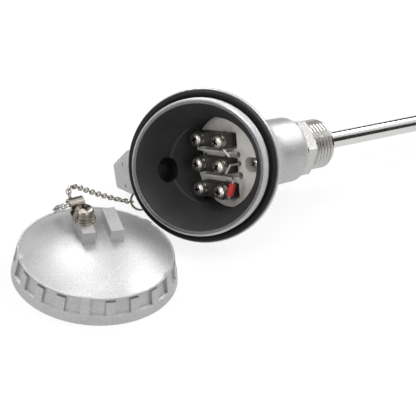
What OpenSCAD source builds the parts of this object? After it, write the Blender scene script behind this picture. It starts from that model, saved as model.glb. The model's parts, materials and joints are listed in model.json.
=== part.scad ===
// Resistance thermometer: a lying probe with an open connection head, and its screw cap beside it on a chain.
// Millimetres. The row frame's origin is the middle of the hexagon's face that the process thread stands on.
// +Z is up, and +X is the way the stem points, seen from above.

/* [Head] */
// angle between the mouth's axis and the stem's axis, degrees
mouth_tilt = 36; // [25:1:45]
// height of the mouth's middle over the stem's axis
mouth_rise = 4; // [2:0.5:6]
// inner radius of the mouth's lip
lip_in = 29.6; // [28:0.1:31]
// outer radius of the mouth's thread
mouth_thread = 31.8; // [31:0.1:33]
// pitch of the mouth's thread
mouth_pitch = 1.5; // [1:0.25:2]
// depth of the mouth's thread
mouth_depth = 0.6; // [0.3:0.1:0.9]
// how far the mouth stands out of the flange
mouth_h = 10.4; // [9:0.2:12]
// radius of the flange
flange_r = 35.9; // [35:0.1:38]
// thickness of the flange
flange_t = 2.8; // [2:0.2:4]
// taper of the bowl, millimetres of radius lost per millimetre of depth
bowl_taper = 0.54; // [0.4:0.02:0.6]
// depth of the tapering bowl
bowl_deep = 20; // [16:0.5:22]
// radius of the well that holds the terminal base
well_r = 21.8; // [21.5:0.1:23]
// thickness of the wall round the well
wall = 3.2; // [2.5:0.1:4]
// distance along the stem's axis from the mouth's middle plane to the well's floor
seat_x = 28; // [26:0.5:29]
// radius of the neck at the head
neck_r = 15.8; // [14:0.1:17]
// radius of the neck before its rounded end
neck_end_r = 15.5; // [14:0.1:17]
// where the neck begins, along the stem's axis
neck_x = 42; // [40:1:46]
// where the neck ends, along the stem's axis
neck_end_x = 60.3; // [56:0.1:66]
// radius of the rounding at the neck's end
neck_round = 3.2; // [1:0.2:5]

/* [O-ring] */
// thickness of the O-ring
oring_d = 3.5; // [3:0.1:3.6]

/* [Cable entry] */
// distance of the cable entry's axis from the mouth's middle, along the stem's axis
entry_x = 3.2; // [2:0.2:6]
// radius of the cable entry's boss
boss_r = 11.2; // [11:0.1:13]
// distance of the boss's end from the stem's axis
boss_end = 43.5; // [40:0.5:46]
// radius of the hole into the head
entry_hole = 5.7; // [5:0.1:6.4]
// radius of the gland screw's thread
gland_r = 8; // [7.5:0.1:8.5]
// width across the flats of the gland screw's hexagon
gland_af = 19; // [18:0.5:20]
// thickness of the hexagon
gland_hex = 6.7; // [5:0.1:8]
// gap between the boss and the hexagon
gland_gap = 0.8; // [0.4:0.1:2]
// bevel of the hexagon's outer end
gland_bevel = 0.5; // [0.2:0.1:1]
// turn of the hexagon about its axis, degrees
gland_turn = 0; // [-30:1:30]
// radius of the hole for the cable
cable_r = 4; // [3:0.1:4.5]

/* [Terminals] */
// radius of the terminal base
base_r = 21.4; // [20:0.1:21.5]
// thickness of the terminal base
base_t = 7; // [6:0.2:8]
// turn of the terminal base about the stem's axis, degrees
base_turn = -8.5; // [-15:0.5:15]
// how far the rows are set off toward the cable entry
rows_off = 4; // [0:0.1:4.5]
// how far the rows are set off sideways
rows_side = 1.2; // [0:0.1:1.4]
// distance between two rows
row_pitch = 11.8; // [11:0.1:12.5]
// distance between the two screws of a row
screw_pitch = 14.8; // [14:0.1:15.5]
// height of a terminal bar over the base
bar_h = 6; // [4:0.1:6.5]
// width of a terminal bar
bar_w = 6.8; // [6:0.1:7.5]
// length of a terminal bar
bar_l = 20; // [19.6:0.1:21]
// distance of a bar's end from its first screw
bar_end = 2.4; // [2:0.1:2.6]
// radius of a terminal screw's head
tscrew_head = 3.25; // [3:0.05:3.6]
// height of a terminal screw's head
tscrew_h = 2.4; // [2:0.1:2.8]
// radius of a terminal screw's thread
tscrew_r = 1.9; // [1.5:0.05:2]
// radius of a terminal washer
twasher_r = 3.85; // [3.6:0.05:4.2]
// thickness of a plain washer
plain_t = 0.5; // [0.4:0.05:0.8]
// thickness of a spring washer
spring_t = 0.8; // [0.7:0.05:1.2]
// distance between the two screws that hold the base
base_screws = 33; // [32:0.5:34]
// radius of a base screw's head
bscrew_head = 2.9; // [2.5:0.1:3.1]
// depth of the notches for the base screws
notch_deep = 4; // [3:0.1:5]
// radius of a bare lead
lead_r = 0.55; // [0.4:0.05:0.7]
// radius of the red sleeve
sleeve_r = 1.5; // [1.2:0.1:1.8]

/* [Process fitting and stem] */
// width across the flats of the hexagon
hex_af = 25; // [24.5:0.5:30]
// turn of the hexagon, degrees
hex_turn = 6; // [-30:1:30]
// thickness of the hexagon
hex_t = 6; // [4:0.2:8]
// outer radius of the process thread
thread_r = 11.9; // [11:0.02:12]
// length of the process thread
thread_l = 13.6; // [10:0.2:16]
// radius of the fitting's thread in the neck
inner_thread_r = 9; // [8:0.1:10]
// length of the fitting inside the neck
inner_l = 11; // [8:0.5:14]
// radius of the stem
stem_r = 4; // [3:0.25:5]
// how much thinner the stem's end is where it sits in the fitting
stem_step = 0.3; // [0.2:0.05:0.4]
// wall of the stem
stem_wall = 0.7; // [0.5:0.1:1]
// length of the stem from the hexagon's face to its tip
insertion = 150; // [100:5:250]

/* [Cap] */
// radius of the cap's foot
cap_r = 37.7; // [37.4:0.1:40]
// radius of the cap at its rim
cap_rim_r = 35.6; // [35:0.1:37]
// height of the cap's rim
cap_rim_h = 12.7; // [12:0.1:14]
// height of the plain band at the cap's foot
cap_band = 4.5; // [4:0.1:5.5]
// number of grip ribs, in fives
cap_ribs = 20; // [15:5:25]
// width of a rib
rib_w = 4.3; // [3:0.1:5]
// how far the ribs stand out of the skirt
rib_out = 1.4; // [0.8:0.1:1.5]
// how far a short rib stops under the rim
rib_short = 1.5; // [1:0.1:3]
// turn of the ribs about the cap's axis, degrees
rib_turn = -3; // [-9:0.1:9]
// which of the ribs between two tall ones is tall, counted round
rib_tall = 2; // [0:1:3]
// height of the domed top over the rim
dome_h = 10; // [7:0.5:10]
// thickness of the top
cap_wall = 3; // [2.5:0.1:4]
// length of a lug
lug_l = 18; // [16:0.5:20]
// width of a lug
lug_w = 5.9; // [5.5:0.1:7]
// distance between the lugs' middles
lug_pitch = 12.9; // [12:0.1:14]
// height of the lugs over the dome's middle
lug_h = 5.6; // [4:0.1:7]
// how far the lugs are set back from the cap's axis
lug_off = 2.3; // [0:0.1:3]
// how far the lugs are set to one side of the cap's axis
lug_side = 1; // [0:0.1:2]
// distance of the cap's axis behind the head's middle, as it lies
cap_back = 55.8; // [55:0.1:60]
// distance of the cap's axis to one side of the stem, as it lies
cap_side = 4.8; // [2:0.1:6]
// turn of the cap as it lies, degrees
cap_turn = -21.8; // [-45:0.1:45]

/* [Clip] */
// distance of the clip's screw from the lug's back end
clip_in = 7.2; // [5:0.1:8]
// turn of the clip on the cap, degrees
clip_turn = 13.8; // [0:0.1:40]
// thickness of the clip's strip
clip_t = 0.9; // [0.7:0.1:1.2]
// radius of the clip's round end
clip_r = 5.3; // [4.8:0.1:5.6]
// distance of the clip's eye from its screw
clip_l = 8.5; // [8.2:0.1:11]
// outer radius of the eye
eye_r = 3; // [2.8:0.1:3.3]
// length of the eye
eye_l = 7; // [6:0.5:9]
// radius of the clip screw's head
cscrew_head = 4.1; // [3.5:0.1:4.2]
// height of the clip screw's head
cscrew_h = 2.6; // [2.2:0.1:3]
// thickness of the spring washer on the clip
cspring_t = 1.8; // [1.2:0.1:2]
// thickness of the plain washer on the clip
cplain_t = 1.2; // [0.6:0.1:1.4]
// radius of the clip screw's thread
cscrew_r = 2; // [1.5:0.1:2.2]

/* [Chain and ring] */
// thickness of the chain's wire
wire_d = 0.65; // [0.5:0.05:0.8]
// outer width of a link
link_w = 2.7; // [2.5:0.05:3.2]
// length a link adds to the chain
link_p = 2.32; // [2.1:0.02:2.6]
// radius of the split ring's middle line
ring_r = 4.4; // [4:0.1:5.5]
// thickness of the split ring's wire
ring_wire = 1; // [0.8:0.05:1.2]
// thickness of the head's ear
ear_t = 3; // [2.4:0.1:3.6]
// place of the ear round the mouth's axis, degrees
ear_turn = 20; // [12:0.5:30]
// swing of the ring in the ear's hole, degrees
ring_turn = -9; // [-9:0.5:20]
// place of the chain's first link on the ring, degrees from the ring's far point
link_turn = -20; // [-60:1:60]

/* [Hidden] */
fine = 96;
mid = 40;
small = 24;
run = 0.08;                     // radial gap of a running fit
eps = 0.02;                     // gap between two faces that bear on each other
far = 300;

// places along the stem's axis
shoulder_x = neck_end_x + hex_t;
thread_end_x = shoulder_x + thread_l; 
tip_x = shoulder_x + insertion;
body_r = well_r + wall;
body_end_x = seat_x + 2;
base_x = seat_x - base_t;
bar_x = base_x - bar_h;
washer_x = bar_x - plain_t;
spring_x = washer_x - spring_t;
gland_end = boss_end + gland_gap + gland_hex;

// unit vectors in the mouth's frame, as parts of the stem's axis and of the lean
n_x = cos(mouth_tilt);
n_z = -sin(mouth_tilt);
flange_end = mouth_h + flange_t;

// how the probe lies: it rests on the flange's edge, on the gland's hexagon and on the stem's tip
// sd: sine of the stem's dip, pz: the upward part of the mouth's lean
function edge_low(sd, pz, l) = let(nz = -n_x * sd + n_z * pz)
    -l * n_x * sd + (mouth_rise + l * n_z) * pz - flange_r * sqrt(1 - nz * nz);
function head_low(sd, pz) = min(edge_low(sd, pz, mouth_h), edge_low(sd, pz, flange_end));
function settle(sd, pz, k) = k == 0 ? [sd, pz] :
    let(low = head_low(sd, pz), cd = sqrt(1 - sd * sd))
    let(dip = (-low - stem_r * cd) / tip_x)
    let(up = -(low + gland_af / sqrt(3) * sqrt(1 - sd * sd - pz * pz) + entry_x * sd)
        / (gland_end - gland_bevel))
    settle((sd + dip) / 2, (pz + up) / 2, k - 1);
rest = settle(0.14, 0.5, 80);
dip = asin(rest[0]);
lean = acos(rest[1] / cos(dip));
floor_z = head_low(rest[0], rest[1]) + shoulder_x * rest[0];

// a point of the probe's own frame, carried to the row frame
function spin_x(p) = [p[0], p[1] * cos(lean) - p[2] * sin(lean), p[1] * sin(lean) + p[2] * cos(lean)];
function spin_y(p) = [p[0] * cos(dip) + p[2] * sin(dip), p[1], -p[0] * sin(dip) + p[2] * cos(dip)];
function lie(p) = spin_y(spin_x(p - [shoulder_x, 0, 0]));
head_at = lie([0, 0, 0]);
cap_axis = [head_at[0] - cap_back, -cap_side, floor_z];
function spin_z(p, a) = [p[0] * cos(a) - p[1] * sin(a), p[0] * sin(a) + p[1] * cos(a), p[2]];
function on_cap(p) = cap_axis + spin_z(p, cap_turn);

module lying() rotate([lean, dip, 0]) translate([-shoulder_x, 0, 0]) children();
module along_stem() rotate([0, 90, 0]) children();
module along_mouth() translate([0, 0, mouth_rise]) rotate([0, 90 + mouth_tilt, 0]) children();
module along_entry() translate([entry_x, 0, 0]) rotate([180, 0, 0]) children();
module to_front(x, y, z) translate([x, y, z]) rotate([0, -90, 0]) children();
module tube(outer, inner, h) difference() {
    cylinder(r = outer, h = h);
    translate([0, 0, -1]) cylinder(r = inner, h = h + 2);
}
module rod(a, b, r) {
    d = b - a;
    translate(a) rotate([0, acos(d[2] / norm(d)), atan2(d[1], d[0])]) cylinder(r = r, h = norm(d));
}
module bent(points, r) {
    for (i = [0 : len(points) - 2]) rod(points[i], points[i + 1], r);
    for (i = [1 : len(points) - 2]) translate(points[i]) sphere(r = r);
}

// ---- head ----
// thread ridges of a profile, as points from l0 on, with crest radius rc
function ridges(rc, depth, pitch, l0, count) = [for (i = [0 : count - 1])
    each [[rc - depth, l0 + (i + 0.1) * pitch], [rc, l0 + (i + 0.4) * pitch],
        [rc, l0 + (i + 0.6) * pitch], [rc - depth, l0 + (i + 0.9) * pitch]]];
thread_turns = 3;
lip_flat = 1.1;
thread_from = 1.6;
edge = 0.4;                     // small bevel of cast edges
web_r = flange_r - 3.4;         // outer radius of the web behind the flange

module mouth_solid() along_mouth() rotate_extrude($fn = fine)
    polygon(concat([[0, 0], [lip_in + lip_flat, 0], [mouth_thread - mouth_depth, lip_flat]],
        ridges(mouth_thread, mouth_depth, mouth_pitch, thread_from, thread_turns),
        [[mouth_thread, thread_from + (thread_turns + 0.3) * mouth_pitch], [mouth_thread, mouth_h],
            [flange_r - edge, mouth_h], [flange_r, mouth_h + edge], [flange_r, flange_end - edge],
            [flange_r - edge, flange_end], [web_r, flange_end],
            [well_r, flange_end + web_r - well_r], [0, flange_end + web_r - well_r + wall]]));

module body_solid() intersection() {
    along_stem() rotate_extrude($fn = fine)
        polygon([[0, -wall - 2], [body_r, -wall - 2], [body_r, body_end_x],
            [neck_r + 3, neck_x - 6], [neck_r, neck_x], [neck_end_r, neck_end_x - neck_round - 2],
            for (a = [0 : 15 : 90]) [neck_end_r - neck_round + neck_round * cos(a),
                neck_end_x - neck_round + neck_round * sin(a)],
            [0, neck_end_x]]);
    behind_flange();
}
module behind_flange() along_mouth() translate([0, 0, mouth_h + 1]) cylinder(r = far, h = far, $fn = 4);

// the ear's hole, in the mouth's frame: depth behind the mouth's plane and distance from its axis
ear_l = flange_end + 2.7;
ear_d = web_r - 0.9;
ear_hole = 1.7;
ear_round = 3.2;
ear_root = 8;
module at_ear() along_mouth() rotate([0, 0, -ear_turn]) translate([ear_d, 0, ear_l])
    rotate([90, 0, 0]) children();
module ear() at_ear() translate([0, 0, -ear_t / 2]) {
    cylinder(r = ear_round, h = ear_t, $fn = mid);
    translate([-ear_root, flange_end - 1 - ear_l, 0])
        cube([ear_root, ear_l - flange_end + 1 + ear_round, ear_t]);
}

module boss() intersection() {
    along_entry() rotate_extrude($fn = fine) polygon([[0, well_r / 2], [boss_r, well_r / 2],
        [boss_r, boss_end - 0.6], [boss_r - 0.6, boss_end], [0, boss_end]]);
    behind_flange();
}
module bowl() {
    intersection() {
        along_mouth() translate([0, 0, -1]) cylinder(r1 = lip_in + bowl_taper,
            r2 = lip_in - bowl_taper * bowl_deep, h = bowl_deep + 1, $fn = fine);
        translate([seat_x - far, -far / 2, -far / 2]) cube([far, far, far]);
    }
    translate([-wall - 0.8, 0, 0]) along_stem() cylinder(r = well_r, h = seat_x + wall + 0.8, $fn = fine);
}
bush_end = 34;                  // the gland's chamber reaches to here
lead_hole = 5;

module head_casting() color([0.62, 0.63, 0.65]) lying() difference() {
    union() {
        mouth_solid();
        body_solid();
        boss();
        ear();
    }
    bowl();
    along_entry() cylinder(r = entry_hole, h = far, $fn = mid);
    along_entry() translate([0, 0, bush_end - 6]) cylinder(r = gland_r + run, h = far, $fn = fine);
    along_stem() cylinder(r = lead_hole, h = far, $fn = mid);
    translate([neck_end_x - inner_l - 0.4, 0, 0]) along_stem()
        cylinder(r = inner_thread_r + run, h = far, $fn = fine);
    at_ear() translate([0, 0, -ear_t]) cylinder(r = ear_hole, h = 2 * ear_t, $fn = small);
    for (s = [-1, 1]) rotate([-base_turn, 0, 0]) translate([seat_x - 1, 0, s * base_screws / 2]) along_stem()
        cylinder(r = bolt_r + run, h = bolt_l + 2, $fn = small);
}

module mouth_o_ring() color([0.08, 0.08, 0.08]) lying() along_mouth()
    translate([0, 0, mouth_h - oring_d / 2 - eps]) rotate_extrude($fn = fine)
    translate([mouth_thread + oring_d / 2 + eps, 0]) circle(d = oring_d, $fn = 20);

// ---- cable entry ----
module along_gland(l) along_entry() translate([0, 0, l]) rotate([0, 0, gland_turn + 30]) children();
shank_l = 7;
module gland_screw() color([0.72, 0.72, 0.74]) lying() difference() {
    union() {
        along_gland(gland_end - gland_hex) intersection() {
            cylinder(d = gland_af / cos(30), h = gland_hex, $fn = 6);
            cylinder(r1 = gland_af / sqrt(3) + gland_hex - gland_bevel,
                r2 = gland_af / sqrt(3) - gland_bevel, h = gland_hex, $fn = fine);
        }
        along_gland(boss_end - shank_l) cylinder(r = gland_r, h = shank_l + gland_gap + 1, $fn = fine);
    }
    along_gland(0) cylinder(r = cable_r + 1.2, h = far, $fn = mid);
}
module gland_washer() color([0.75, 0.72, 0.6]) lying()
    along_gland(boss_end - shank_l - 1 - eps) tube(gland_r - 0.2, cable_r + 0.6, 1, $fn = mid);
module gland_bush() color([0.1, 0.1, 0.1]) lying()
    along_gland(bush_end - 6 + eps) tube(gland_r - 0.1, cable_r, boss_end - shank_l - bush_end + 5 - 3 * eps,
        $fn = mid);

// ---- terminals ----
module on_base() rotate([-base_turn, 0, 0]) children();
function row_y(i) = (1 - i) * row_pitch - rows_side;
function screw_z(s) = -rows_off + s * screw_pitch / 2;
bolt_r = 1.9;
bolt_l = 6;
pocket_deep = 1.2;
foot_l = 9;
foot_gap = 0.5;
tscrew_deep = 4;
rib_t = 1.2;
rib_h = 3;
notch_w = 7;
module terminal_base() color([0.78, 0.78, 0.76]) lying() on_base() difference() {
    union() {
        translate([base_x, 0, 0]) along_stem() cylinder(r = base_r, h = base_t - eps, $fn = fine);
        for (i = [0, 1])
            translate([base_x - rib_h, row_y(i) - row_pitch / 2 - rib_t / 2, screw_z(-1) - bar_end])
            cube([rib_h + 1, rib_t, bar_l]);
    }
    for (i = [0 : 2]) {
        translate([base_x - far + pocket_deep, row_y(i) - bar_w / 2 - foot_gap, screw_z(1) - foot_l / 2])
            cube([far, bar_w + 2 * foot_gap, foot_l]);
        for (s = [-1, 1]) translate([base_x - 1, row_y(i), screw_z(s)]) along_stem()
            cylinder(r = tscrew_r + run, h = tscrew_deep + 1.3, $fn = small);
    }
    for (s = [-1, 1]) {
        translate([base_x - far + notch_deep, 0, s * base_screws / 2]) along_stem()
            rotate([0, 0, s > 0 ? 180 : 0])
            linear_extrude(height = far) polygon([for (a = [90 : 15 : 270]) notch_w / 2 * [cos(a), sin(a)],
            [base_r, -notch_w / 2], [base_r, notch_w / 2]]);
        translate([base_x, 0, s * base_screws / 2]) along_stem()
            cylinder(r = bolt_r + run, h = far, $fn = small);
    }
    for (p = lead_holes) translate([base_x - 1, p[0], p[1]]) along_stem()
        cylinder(r = p[2], h = far, $fn = small);
}
// wire holes: across, up, radius
lead_holes = [[row_pitch / 2 - rows_side - 0.8, 8.6, 1.3], [1 - rows_side, 9, 1.3],
    [-row_pitch / 2 - rows_side + 1.4, 9.4, 1.6]];

module terminal_bar(i) color([0.2, 0.19, 0.18]) lying() on_base() difference() {
    union() {
        translate([bar_x, row_y(i) - bar_w / 2, screw_z(-1) - bar_end]) cube([bar_h - eps, bar_w, bar_l]);
        translate([base_x - 2 * eps, row_y(i) - bar_w / 2 + foot_gap, screw_z(1) - foot_l / 2 + foot_gap])
            cube([pocket_deep + eps, bar_w - 2 * foot_gap, foot_l - 2 * foot_gap]);
    }
    for (s = [-1, 1]) translate([bar_x - 1, row_y(i), screw_z(s)]) along_stem()
        cylinder(r = tscrew_r + run, h = bar_h + pocket_deep + 2, $fn = small);
}
module terminal_bar_1() terminal_bar(0);
module terminal_bar_2() terminal_bar(1);
module terminal_bar_3() terminal_bar(2);

// pan head with a cross recess; the shank points down from the head's underside at z = 0
module cross_screw(head, h, shank, l) difference() {
    union() {
        rotate_extrude($fn = mid) polygon([[0, 0], [head, 0], [head, h * 0.45],
            [head * 0.9, h * 0.75], [head * 0.68, h * 0.94], [head * 0.4, h], [0, h]]);
        translate([0, 0, -l]) cylinder(r = shank, h = l + 0.1, $fn = small);
    }
    translate([0, 0, h * 0.35]) {
        translate([-head * 0.62, -head * 0.13, 0]) cube([head * 1.24, head * 0.26, h]);
        translate([-head * 0.13, -head * 0.62, 0]) cube([head * 0.26, head * 1.24, h]);
        cylinder(r1 = head * 0.18, r2 = head * 0.36, h = h, $fn = 16);
    }
}
recess_turn = [20, 65, -15, 40, 10, 80];
module terminal_screw(k) color([0.8, 0.79, 0.76]) lying() on_base()
    to_front(spring_x - eps, row_y(floor(k / 2)), screw_z(k % 2 == 0 ? -1 : 1))
    rotate([0, 0, recess_turn[k]])
    cross_screw(tscrew_head, tscrew_h, tscrew_r, base_x + tscrew_deep - spring_x);
module terminal_screw_1() terminal_screw(0);
module terminal_screw_2() terminal_screw(1);
module terminal_screw_3() terminal_screw(2);
module terminal_screw_4() terminal_screw(3);
module terminal_screw_5() terminal_screw(4);
module terminal_screw_6() terminal_screw(5);

module terminal_washers() color([0.75, 0.75, 0.73]) lying() on_base() for (i = [0 : 2], s = [-1, 1])
    to_front(bar_x, row_y(i), screw_z(s)) {
        translate([0, 0, eps]) tube(twasher_r, tscrew_r + run, plain_t - 2 * eps, $fn = mid);
        translate([0, 0, plain_t]) spring_ring(twasher_r - 0.5, tscrew_r + run, spring_t - eps);
    }
// a split spring washer
module spring_ring(outer, inner, h) difference() {
    tube(outer, inner, h, $fn = mid);
    rotate([0, 0, 200]) translate([0, -0.25, -1]) cube([outer + 1, 0.5, h + 2]);
}
module base_screws() color([0.7, 0.7, 0.68]) lying() on_base() for (s = [-1, 1])
    to_front(base_x + notch_deep - eps, 0, s * base_screws / 2) rotate([0, 0, 30])
    cross_screw(bscrew_head, 1.9, bolt_r, base_t - notch_deep + bolt_l - 0.2);

// each bare lead comes out of its hole and lies on its bar, against the washer of its screw
lead_x = bar_x - 0.15 - lead_r;
lead_bend = 3;
function by_washer(i, a) = let(d = twasher_r + lead_r + 0.15)
    [lead_x, row_y(i) + d * sin(a), screw_z(1) + d * cos(a)];
module bare_leads() color([0.82, 0.82, 0.8]) lying() on_base() for (i = [0, 1]) {
    h = lead_holes[i];
    side = i == 0 ? -50 : -38;
    bent([[base_x + lead_bend, h[0], h[1]], [lead_x + 1, h[0], h[1]], by_washer(i, side)], lead_r, $fn = 10);
}
sleeve_a = [bar_x - 1, row_y(2) + 4.3, screw_z(1) + 8];
sleeve_b = [bar_x - 1, row_y(2) - 0.9, screw_z(1) + 5.8];
sleeve_d = (sleeve_b - sleeve_a) / norm(sleeve_b - sleeve_a);
module sleeved_lead() color([0.6, 0.6, 0.6]) lying() on_base()
    bent([[base_x + lead_bend, lead_holes[2][0], lead_holes[2][1]],
        [bar_x + 1, lead_holes[2][0], lead_holes[2][1]],
        sleeve_a - 2 * sleeve_d, sleeve_b + 1.6 * sleeve_d, by_washer(2, -25)], lead_r, $fn = 10);
module wire_sleeve() color([0.75, 0.12, 0.1]) lying() on_base() difference() {
    rod(sleeve_a, sleeve_b, sleeve_r, $fn = small);
    rod(sleeve_a - sleeve_d, sleeve_b + sleeve_d, lead_r + run, $fn = small);
}

// ---- process fitting and stem ----
module hex_nipple() color([0.76, 0.76, 0.77]) lying() difference() {
    union() {
        translate([neck_end_x + eps, 0, 0]) along_stem() intersection() {
            rotate([0, 0, hex_turn]) cylinder(d = hex_af / cos(30), h = hex_t - eps, $fn = 6);
            rotate_extrude($fn = fine) polygon([[0, 0], [hex_af / 2 + 2, 0],
                [hex_af / 2 + 2, hex_t - 0.8], [hex_af / 2 + 0.5, hex_t - eps], [0, hex_t - eps]]);
        }
        translate([neck_end_x - inner_l, 0, 0]) along_stem()
            cylinder(r = inner_thread_r, h = inner_l + 1, $fn = fine);
        translate([shoulder_x - 1, 0, 0]) along_stem() rotate_extrude($fn = fine)
            polygon([[0, 0], [thread_r, 0], [thread_r, thread_l], [thread_r - 1, thread_l + 1],
                [0, thread_l + 1]]);
    }
    along_stem() cylinder(r = stem_r - stem_step + run / 2, h = far, $fn = mid);
}
tip_round = 1.5;
tip_wall = 2.5;
stem_seat = 20;                 // length of the stem inside the fitting
module probe_sheath() color([0.8, 0.8, 0.8]) lying() along_stem() difference() {
    rotate_extrude($fn = mid) polygon([[0, thread_end_x - stem_seat],
        [stem_r - stem_step, thread_end_x - stem_seat],
        [stem_r - stem_step, thread_end_x + eps], [stem_r, thread_end_x + eps], [stem_r, tip_x - tip_round],
        for (a = [15 : 15 : 90])
            [stem_r - tip_round + tip_round * cos(a), tip_x - tip_round + tip_round * sin(a)],
        [0, tip_x]]);
    translate([0, 0, thread_end_x - stem_seat - 1]) cylinder(r = stem_r - stem_wall,
        h = tip_x - tip_wall - thread_end_x + stem_seat + 1, $fn = mid);
}
element_l = 22;
element_r = 1.4;
module insulator() color([0.9, 0.9, 0.86]) lying()
    translate([thread_end_x - stem_seat - 1, 0, 0]) along_stem()
        tube(stem_r - stem_wall - run, element_r + run,
        tip_x - tip_wall - 1.5 - thread_end_x + stem_seat, $fn = small);
module sensing_element() color([0.93, 0.93, 0.9]) lying()
    translate([tip_x - tip_wall - 1 - element_l, 0, 0]) along_stem()
        cylinder(r = element_r, h = element_l, $fn = small);

// ---- cap ----
dome_r = cap_rim_r - 1.1;
ball = (dome_r * dome_r + dome_h * dome_h) / (2 * dome_h);
cap_top = cap_rim_h + dome_h;
lug_top = cap_top + lug_h;
function cone_r(z) = cap_r + (cap_rim_r - cap_r) * z / cap_rim_h;
function arc_points(r, top, span, count) = [for (i = [0 : count]) let(x = span * (1 - i / count))
    [x, top - r + sqrt(r * r - x * x)]];
chamber_h = 4;
thread_h = 6.6;
inner_r = mouth_thread + 0.4;
module cap_outside() {
    rotate_extrude($fn = fine) polygon(concat([[0, 0], [cap_r - 0.4, 0], [cone_r(0.4), 0.4],
        [cone_r(cap_band), cap_band], [cone_r(cap_band) - rib_out, cap_band + 0.4],
        [cone_r(cap_rim_h) - rib_out, cap_rim_h - 0.9], [cap_rim_r - 0.5, cap_rim_h - 0.7],
        [cap_rim_r - 0.5, cap_rim_h - 0.2], [dome_r, cap_rim_h]],
        arc_points(ball, cap_top, dome_r, 14)));
    intersection() {
        cylinder(r1 = cone_r(0) - 0.06, r2 = cone_r(cap_top) - 0.06, h = cap_top, $fn = fine);
        for (i = [0 : cap_ribs - 1]) rotate([0, 0, rib_turn + i * 360 / cap_ribs])
            translate([inner_r + 1, -rib_w / 2, cap_band - 1])
            cube([far, rib_w, (i % 4 == rib_tall ? cap_rim_h + 0.5 : cap_rim_h - rib_short) - cap_band + 1]);
    }
    for (s = [-1, 1]) translate([lug_side + s * lug_pitch / 2 - lug_w / 2, lug_off - lug_l / 2, cap_rim_h])
        cube([lug_w, lug_l, lug_top - cap_rim_h]);
}
module cap_casting() color([0.66, 0.67, 0.69]) translate(cap_axis) rotate([0, 0, cap_turn]) difference() {
    cap_outside();
    rotate_extrude($fn = fine) polygon(concat([[0, -1], [mouth_thread + oring_d + 0.4, -1],
        [mouth_thread + oring_d + 0.4, chamber_h - 1], [inner_r + 0.2, chamber_h]],
        ridges(inner_r + 0.2, mouth_depth, mouth_pitch, chamber_h, 4),
        [[inner_r + 0.2, chamber_h + thread_h]],
        arc_points(ball, cap_top - cap_wall, inner_r - 0.8, 10)));
    translate([clip_x, clip_y, lug_top - screw_deep - 2]) cylinder(r = cscrew_r + run, h = far, $fn = small);
}

// ---- clip ----
clip_x = lug_side - lug_pitch / 2;
clip_y = lug_off + lug_l / 2 - clip_in;
screw_deep = 7;
strap_z = lug_top + eps;
module at_clip(z) translate(cap_axis) rotate([0, 0, cap_turn]) translate([clip_x, clip_y, z])
    rotate([0, 0, clip_turn]) children();
eye_arc = 255;
module clip_strap() color([0.7, 0.67, 0.62]) at_clip(strap_z) difference() {
    union() {
        cylinder(r = clip_r, h = clip_t, $fn = mid);
        linear_extrude(height = clip_t) polygon([[-clip_r * 0.94, 2], [clip_r * 0.94, 2],
            [eye_l / 2 - 0.2, clip_l - 1.2], [-eye_l / 2 + 0.2, clip_l - 1.2]]);
        rotate([90, 0, 90]) translate([0, 0, -eye_l / 2]) linear_extrude(height = eye_l)
            polygon(concat(roll(eye_r, [0 : eye_steps]), roll(eye_r - clip_t, [eye_steps : -1 : 0])));
    }
    translate([0, 0, -1]) cylinder(r = cscrew_r + run, h = clip_t + 2, $fn = small);
}
// the strip turns up and over, and its end leaves a seam below at the back
eye_from = -110;
eye_steps = 20;
function roll(r, range) = [for (i = range) let(a = eye_from - i * eye_arc / eye_steps)
    [clip_l + r * cos(a), eye_r + r * sin(a)]];
module clip_screw() color([0.78, 0.76, 0.73]) at_clip(strap_z + clip_t + cplain_t + cspring_t + 3 * eps)
    cross_screw(cscrew_head, cscrew_h, cscrew_r, clip_t + cplain_t + cspring_t + screw_deep);
module clip_washers() color([0.74, 0.72, 0.68]) {
    at_clip(strap_z + clip_t + eps) tube(cscrew_head + 0.7, cscrew_r + run, cplain_t, $fn = mid);
    at_clip(strap_z + clip_t + cplain_t + 2 * eps) spring_ring(cscrew_head + 0.2, cscrew_r + run, cspring_t);
}

// ---- ring and chain ----
ring_gap = 0.05;
ring_play = 0.2;
// the ring hangs from the ear's hole, away from the mouth's axis
module split_ring() color([0.75, 0.75, 0.74]) lying() at_ear() rotate([0, 0, ring_turn])
    translate([ring_r + ring_play, 0, 0]) rotate([90, 0, 0])
    for (s = [-1, 1]) translate([0, 0, s * (ring_wire + ring_gap) / 2]) rotate_extrude($fn = mid)
    translate([ring_r, 0]) circle(d = ring_wire, $fn = 10);

function radial() = [-sin(mouth_tilt) * cos(ear_turn), -sin(ear_turn), -cos(mouth_tilt) * cos(ear_turn)];
function by_mouth(r, l) = [0, 0, mouth_rise] + l * [n_x, 0, n_z] + r * radial();
function around() = [sin(mouth_tilt) * sin(ear_turn), -cos(ear_turn), cos(mouth_tilt) * sin(ear_turn)];
ring_mid = by_mouth(ear_d, ear_l)
    + (ring_r + ring_play) * (cos(ring_turn) * radial() + sin(ring_turn) * [n_x, 0, n_z]);
function on_ring(r) = lie(ring_mid + r * (cos(link_turn) * (cos(ring_turn) * radial()
    + sin(ring_turn) * [n_x, 0, n_z]) + sin(link_turn) * around()));
ring_end = on_ring(ring_r);
ring_side = on_ring(ring_r + 1) - ring_end;
function on_clip(p) = on_cap([clip_x, clip_y, lug_top] + spin_z(p, clip_turn));

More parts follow.
